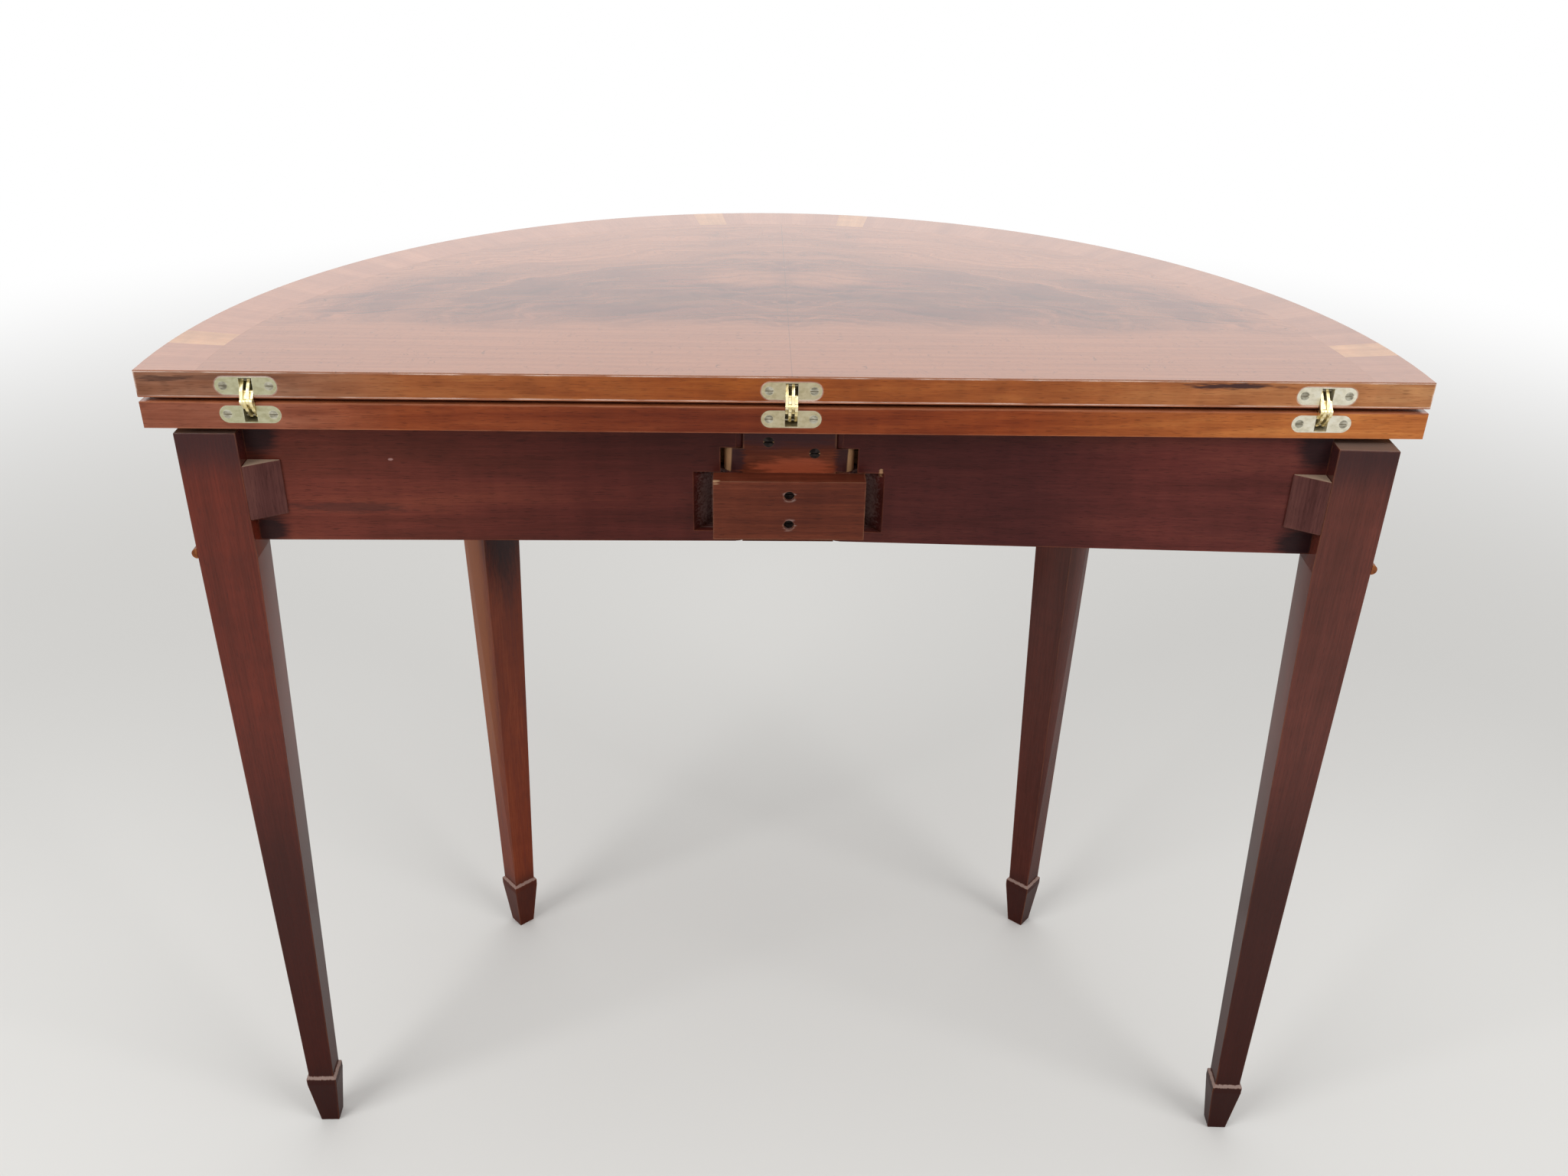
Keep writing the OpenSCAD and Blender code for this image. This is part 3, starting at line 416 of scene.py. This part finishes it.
# The apron's veneer follows its curve, streaky red-brown outside and bare inside
apron_veneer = wood("mahogany_apron_veneered", "round", "#26130f", "#532619", "#6b321f", "#824428",
                    bands=18, seed=5.0, polish=0.8, film=SHELLAC, roughness=0.2, raw_side="in")
# Beads: lighter, orange-brown strips that catch the light on their round
BEAD_COLOURS = ("#2e160e", "#6a3a20", "#824a28", "#945a34")
bead_wood = wood("mahogany_bead_turned", "round", *BEAD_COLOURS, bands=6, seed=6.0)
leg_bead_wood = wood("mahogany_bead_planed", "Y", *BEAD_COLOURS, bands=6, seed=7.0)
# The leaves' straight edges: solid lipping, planed and polished, redder and darker on the lower
# leaf and faded towards the ends. The upper one has dark mineral streaks and a near-white painted
# highlight along its arris.
UPPER_DRIFT = [(0.11, "#c8c8dc"), (0.21, "#dec09c"), (0.45, "#ce9c58"), (0.72, "#deba8e"),
               (0.96, "#fffff0")]
LOWER_DRIFT = [(0.10, "#bab4dc"), (0.20, "#b4907c"), (0.42, "#8e6458"), (0.68, "#b48a68"),
               (0.96, "#fffcd8")]
# The upper lipping's near-white edge colour is a painted highlight along its arris
upper_edge = wood("mahogany_lipping_upper", "X", "#5a2c14", "#9f6540", "#af754f", "#bc865e",
                  bands=7, streak=1.1, seed=8.0, polish=0.5, film=SHELLAC, roughness=0.25,
                  drift=UPPER_DRIFT, worn=1.0, edge_wear_and_glint="#fbe6d8",
                  marks=[((311, -223, 758), (40, 200, 2.8), 0.9, "#2b1a22"),
                         ((-442, -223, 756), (24, 200, 3), 0.6, "#35201c"),
                         ((-390, -223, 757), (55, 200, 2.5), 0.35, "#35201c")])
lower_edge = wood("mahogany_lipping_lower", "X", "#5a2410", "#a65e36", "#ba6f42", "#ca8150",
                  bands=7, streak=1.1, seed=11.0, polish=0.4, film=SHELLAC, roughness=0.28,
                  drift=LOWER_DRIFT, edge_wear_and_glint="#c98a66", raw_side="down")
# Straight-grained veneer laid with its grain across the border, paler than the flame
border_veneer = wood("mahogany_crossband_polished", "outward", "#7a4a34", "#965f46", "#a0684d",
                     "#ab7356", bands=22, streak=1.3, seed=13.0, worn=0.2, mottle=0.05,
                     pores=0.25, drift=[(0.2, "#ffffff"), (0.9, "#f3f3f3")], **FRENCH_POLISH)
# The same cut round the baize, kept from light and so darker and redder
playing_border = wood("mahogany_crossband_playing_side", "outward", "#4e2718", "#8a4d2f", "#985636",
                      "#a6623f", bands=22, streak=1.3, seed=14.0, polish=0.9, film=SHELLAC,
                      roughness=0.2, worn=0.0)
# Four pale straw-coloured blocks in the border
light_veneer = wood("satinwood_block_polished", "outward", "#906040", "#a8744b", "#b57f54",
                    "#c08c60", bands=12, streak=1.2, seed=15.0, worn=0.0, mottle=0.1,
                    pores=0.25, **FRENCH_POLISH)
# Unpolished softwood inside the frame, darkened by age: matt, yellow-brown, sawn or planed
UNPOLISHED = {"polish": 0.0, "bare": 0.3, "relief": 0.0003}
inner_wood = wood("pine_inner_rail_sawn", "X", "#5c3a22", "#7d5434", "#946746", "#a97c58", bands=11,
                  seed=16.0, roughness=0.7, worn=0.0, **UNPOLISHED)
glue_wood = wood("pine_glue_block_planed", "Y", "#6f4a2c", "#93693f", "#ab8052", "#bf9766", bands=9,
                 seed=17.0, roughness=0.72, worn=0.2, edge_wear_and_glint="#c9a679", **UNPOLISHED)
flame = flame_veneer()
baize = baize_cloth()
# Rolled brass that has gone dull and greenish, worst in the middle hinge
plate_brass = metal("brass_plate_aged", "#fffcec", "#f3edd9", "#dfd9c3", 0.38,
                    drift=[(0.05, "#ccceba"), (0.4, "#d0c8b4"), (0.6, "#d0c8b4"),
                           (0.95, "#ffffff")])
# The links stay bright because they rub on each other
link_brass = metal("brass_link_rubbed", "#fff6d4", "#fbe9b2", "#e8d79c", 0.30, packed=0.3)
# Turned pins keep a grey shine; the hinges' screws are duller
pin_steel = metal("steel_pin_turned", "#cfccc2", "#a9a69c", "#7c786e", 0.35)
screw_steel = metal("steel_screw_aged", "#d9d5c4", "#aaa593", "#7a7565", 0.42)
# The blocks' screws lie deep in their holes and are nearly black
sunk_steel = metal("steel_screw_near_black", "#3f3835", "#2b2523", "#1d1917", 0.5, packed=0.0)

FINISHES = {
    "lower_leaf": lower_edge, "upper_leaf": upper_edge, "lower_crossband": playing_border,
    "upper_crossband": playing_border, "lower_baize": baize, "upper_baize": baize,
    "flame_veneer_left": flame, "flame_veneer_right": flame, "top_crossband": border_veneer,
    "light_blocks": light_veneer, "apron": apron_veneer, "apron_bead": bead_wood,
    "inner_rail": inner_wood, "glue_blocks": glue_wood, "knuckle_block": knuckle_wood,
    "stop_block": block_wood, "front_leg_left": faded_leg_wood, "front_leg_right": leg_wood,
    "front_leg_beads": leg_bead_wood, "knuckle_block_screws": sunk_steel,
    "stop_block_screws": sunk_steel, "centre_pins": pin_steel,
}
for hand in ("left", "right"):
    FINISHES["rear_leg_" + hand] = leg_wood
    FINISHES["swing_rail_" + hand] = rail_wood
    FINISHES["corner_block_" + hand] = corner_wood
    FINISHES["leg_bead_" + hand] = leg_bead_wood
    FINISHES["knuckle_pin_" + hand] = pin_steel
for row in ("lower", "upper"):
    FINISHES["hinge_screws_" + row] = screw_steel
    FINISHES["hinge_pins_" + row] = pin_steel
    FINISHES["slide_pins_" + row] = pin_steel
    for hinge in ("left", "middle", "right"):
        FINISHES[f"hinge_body_{row}_{hinge}"] = plate_brass
        FINISHES[f"links_{row}_{hinge}"] = link_brass

# Radius, in metres, to which the worked edges of each kind of piece have been eased
EASED = {"swing_rail": 0.0007, "rear_leg": 0.0008, "front_leg_left": 0.0008,
         "front_leg_right": 0.0008, "stop_block": 0.0010, "knuckle_block": 0.0005,
         "corner_block": 0.0006, "links_": 0.0002, "hinge_body": 0.0002}
# Corners of the CAD mesh that lie this close, in metres, are one; edges sharper than this are eased
SAME_CORNER = 0.000002
SHARP_EDGE = math.radians(35)

for name, piece in parts.items():
    for holder in piece.material_slots:
        holder.material = FINISHES[name]
    for start, radius in EASED.items():
        if name.startswith(start):
            weld = piece.modifiers.new("joined_corners", "WELD")
            weld.merge_threshold = SAME_CORNER
            ease = piece.modifiers.new("eased_edges", "BEVEL")
            ease.width = radius
            ease.segments = 2
            ease.limit_method = "ANGLE"
            ease.angle_limit = SHARP_EDGE
            ease.harden_normals = True

# Pale floor that fades to white further out, in metres
FLOOR_END = 9
FLOOR_FADE = (1.3, 3.2)
floor_mesh = bpy.data.meshes.new("floor")
floor_mesh.from_pydata([(-FLOOR_END, -FLOOR_END, 0), (FLOOR_END, -FLOOR_END, 0),
                        (FLOOR_END, FLOOR_END, 0), (-FLOOR_END, FLOOR_END, 0)], [], [(0, 1, 2, 3)])
floor = bpy.data.objects.new("floor", floor_mesh)
bpy.context.scene.collection.objects.link(floor)
floor_paint, tree = new_finish("painted_studio_floor")
far = add(tree, "VectorMath", [add(tree, "TexCoord").outputs["Object"]], operation="LENGTH")
fade = add(tree, "MapRange", [far.outputs["Value"], *FLOOR_FADE, 0, 1],
           interpolation_type="SMOOTHSTEP")
paint = add(tree, "BsdfDiffuse", {"Color": "#e0dfdc"})
glow = add(tree, "Emission", {"Color": "#ffffff", "Strength": 1.0})
seen = add(tree, "Math", [add(tree, "LightPath").outputs["Is Camera Ray"], fade],
           operation="MULTIPLY")
add(tree, "OutputMaterial", [add(tree, "MixShader", [seen, paint, glow])])
floor_mesh.materials.append(floor_paint)

# White surroundings for the camera and for reflections, a plain soft fill for the rest
FILL, WHITE = 0.5, 1.0
world = bpy.data.worlds.new("studio")
bpy.context.scene.world = world
world.use_nodes = True
tree = world.node_tree
tree.nodes.clear()
path = add(tree, "LightPath").outputs
shown = add(tree, "Math", [path["Is Camera Ray"], path["Is Glossy Ray"]], operation="MAXIMUM")
shown = add(tree, "Math", [shown, path["Is Transmission Ray"]], operation="MAXIMUM")
strength = add(tree, "MapRange", [shown, 0, 1, FILL, WHITE])
add(tree, "OutputWorld", [add(tree, "Background", {"Color": "#ffffff", "Strength": strength})])


def soft_box(name, place, aim, width, height, watts):
    """A soft rectangular lamp that only its light shows. Places and sizes are in metres."""
    lamp = bpy.data.lights.new(name, "AREA")
    lamp.shape = "RECTANGLE"
    lamp.size, lamp.size_y, lamp.energy = width, height, watts
    holder = bpy.data.objects.new(name, lamp)
    holder.location = place
    holder.rotation_euler = (Vector(aim) - Vector(place)).to_track_quat("-Z", "Y").to_euler()
    holder.visible_camera = False
    bpy.context.scene.collection.objects.link(holder)


# The wide panel beyond the table, as the camera sees it, gives the pale glare on the polished top
soft_box("far_panel", (0.0, 2.5, 1.55), (0.0, 0.0, 1.45), 4.6, 1.5, 16)
soft_box("overhead_panel", (0.1, 0.1, 2.9), (0.0, 0.0, 0.7), 2.4, 1.8, 12)
soft_box("left_panel", (-1.7, -1.5, 2.2), (0.0, -0.2, 0.6), 1.2, 1.2, 31)
soft_box("right_panel", (1.7, -1.5, 2.2), (0.0, -0.2, 0.6), 1.2, 1.2, 25)

# The camera stands behind the table, where the photograph was taken from: its place in metres, its
# turns in radians, and its focal length in pixels of an image of that width
EYE = (-0.031017, -1.159235, 1.109146)
YAW, PITCH, ROLL = 0.030208, 0.503905, 0.020591
FOCAL_PIXELS, IMAGE_WIDTH = 1843.34, 2049
SENSOR_WIDTH = 36.0
ahead = Vector((math.sin(YAW) * math.cos(PITCH), math.cos(YAW) * math.cos(PITCH), -math.sin(PITCH)))
level = Vector((math.cos(YAW), -math.sin(YAW), 0.0))
upright = level.cross(ahead)
right = math.cos(ROLL) * level + math.sin(ROLL) * upright
up = math.cos(ROLL) * upright - math.sin(ROLL) * level
lens = bpy.data.cameras.new("camera")
lens.sensor_width = SENSOR_WIDTH
lens.lens = FOCAL_PIXELS / IMAGE_WIDTH * SENSOR_WIDTH
camera = bpy.data.objects.new("camera", lens)
camera.matrix_world = Matrix.Translation(EYE) @ Matrix((right, up, -ahead)).transposed().to_4x4()
bpy.context.scene.collection.objects.link(camera)
bpy.context.scene.camera = camera
bpy.context.scene.view_settings.view_transform = "Standard"
